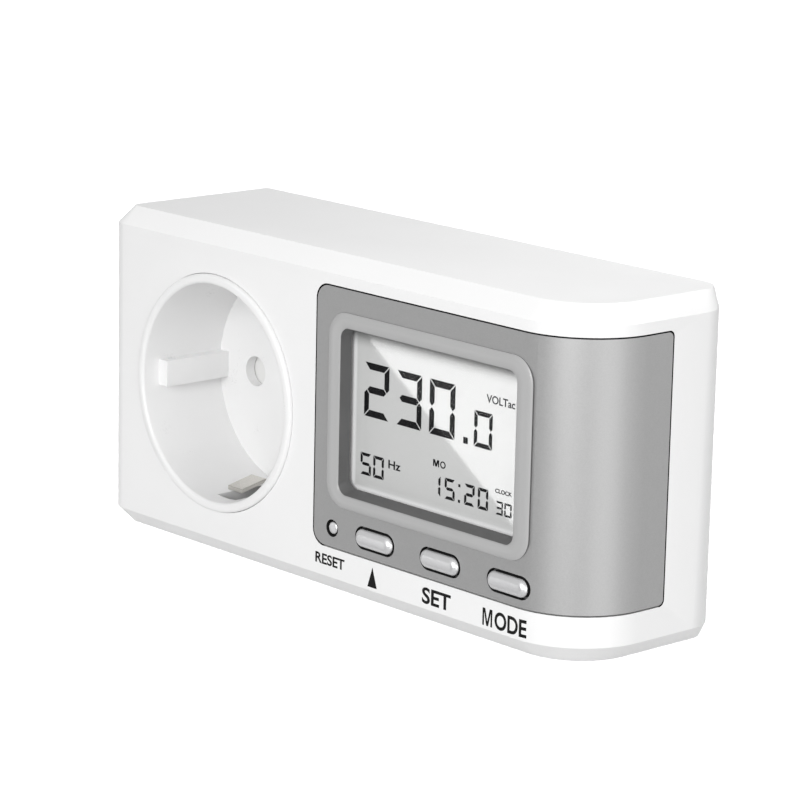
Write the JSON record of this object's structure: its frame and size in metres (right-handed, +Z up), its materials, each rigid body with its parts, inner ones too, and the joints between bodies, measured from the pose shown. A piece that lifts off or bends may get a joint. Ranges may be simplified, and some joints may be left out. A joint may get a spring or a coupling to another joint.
{
  "type": "plug-in power meter",
  "caption": "Wall-plug energy meter: earthed plug behind, shuttered earthed socket in front, side display with grey fascia and push buttons.",
  "frame": {"origin": "midway between the two plug pins, on the end face of the plug base", "axes": "+Z up, +Y towards the wall along the pins, +X along the display"},
  "size_m": [0.1245, 0.0849, 0.06],
  "materials": {
    "white_housing": "fine satin moulded plastic",
    "white_socket": "satin",
    "screw_steel": "zinc plated",
    "spring_steel": "satin",
    "dark_thermoset": "matt",
    "brass_contact": "satin",
    "grey_plug": "satin",
    "nickel_pin": "nickel plated",
    "nickel_strip": "nickel plated",
    "grey_fascia": "satin silver-grey",
    "pale_grey_frame": "satin",
    "clear_window": "clear",
    "lcd_cell": "grey display glass",
    "reflector_film": "pearl",
    "zebra_rubber": "matt",
    "dark_holder": "matt",
    "silver_button": "satin silver",
    "green_board": "solder mask",
    "chip_black": "matt",
    "battery_shell": "satin",
    "capacitor_yellow": "satin",
    "capacitor_black": "sleeve",
    "varistor_blue": "lacquer",
    "resistor_tan": "lacquer"
  },
  "bodies": {
    "housing": {"front_shell": "white_housing", "rear_cover": "white_housing", "case_screws": "screw_steel", "board_screws": "screw_steel", "socket_insert": "white_socket", "contact_carrier": "dark_thermoset", "contact_clip_neutral": "brass_contact", "contact_clip_live": "brass_contact", "plug_base": "grey_plug", "plug_pin_neutral": "nickel_pin", "plug_pin_live": "nickel_pin", "earth_strip_top": "nickel_strip", "earth_strip_bottom": "nickel_strip", "neutral_link": "brass_contact", "live_feed_link": "brass_contact", "live_return_link": "brass_contact", "fascia_panel": "grey_fascia", "display_frame": "pale_grey_frame", "display_window": "clear_window", "lcd_glass": "lcd_cell", "lcd_reflector": "reflector_film", "zebra_strip_top": "zebra_rubber", "zebra_strip_bottom": "zebra_rubber", "lcd_holder": "dark_holder", "tact_switches": "spring_steel", "display_board": "green_board", "power_board": "green_board", "board_pillars": "dark_holder", "display_controller": "chip_black", "clock_crystal": "nickel_pin", "backup_battery": "battery_shell", "battery_clip": "spring_steel", "link_header": "chip_black", "board_link_pins": "brass_contact", "film_capacitor": "capacitor_yellow", "reservoir_capacitor": "capacitor_black", "metering_chip": "chip_black", "varistor": "varistor_blue", "dropper_resistor": "resistor_tan", "shunt_resistor": "brass_contact"},
    "up_button": {"button_up": "silver_button", "plunger_up": "dark_thermoset"},
    "set_button": {"button_set": "silver_button", "plunger_set": "dark_thermoset"},
    "mode_button": {"button_mode": "silver_button", "plunger_mode": "dark_thermoset"},
    "reset_button": {"button_reset": "silver_button", "plunger_reset": "dark_thermoset"},
    "shutter": {"shutter_disc": "white_socket", "shutter_spring": "spring_steel"}
  },
  "joints": [
    {"name": "up_press", "type": "slide", "parent": "housing", "child": "up_button", "axis": [0, 1, 0], "range_m": [0, 0.0007], "stiffness_N_per_m": 2600},
    {"name": "set_press", "type": "slide", "parent": "housing", "child": "set_button", "axis": [0, 1, 0], "range_m": [0, 0.0007], "stiffness_N_per_m": 2600},
    {"name": "mode_press", "type": "slide", "parent": "housing", "child": "mode_button", "axis": [0, 1, 0], "range_m": [0, 0.0007], "stiffness_N_per_m": 2600},
    {"name": "reset_press", "type": "slide", "parent": "housing", "child": "reset_button", "axis": [0, 1, 0], "range_m": [0, 0.0007], "stiffness_N_per_m": 2600},
    {"name": "shutter_turn", "type": "hinge", "parent": "housing", "child": "shutter", "pos_m": [0, -0.0446, 0], "axis": [0, 1, 0], "range_deg": [0, 35], "stiffness_Nm_per_rad": 0.02}
  ]
}
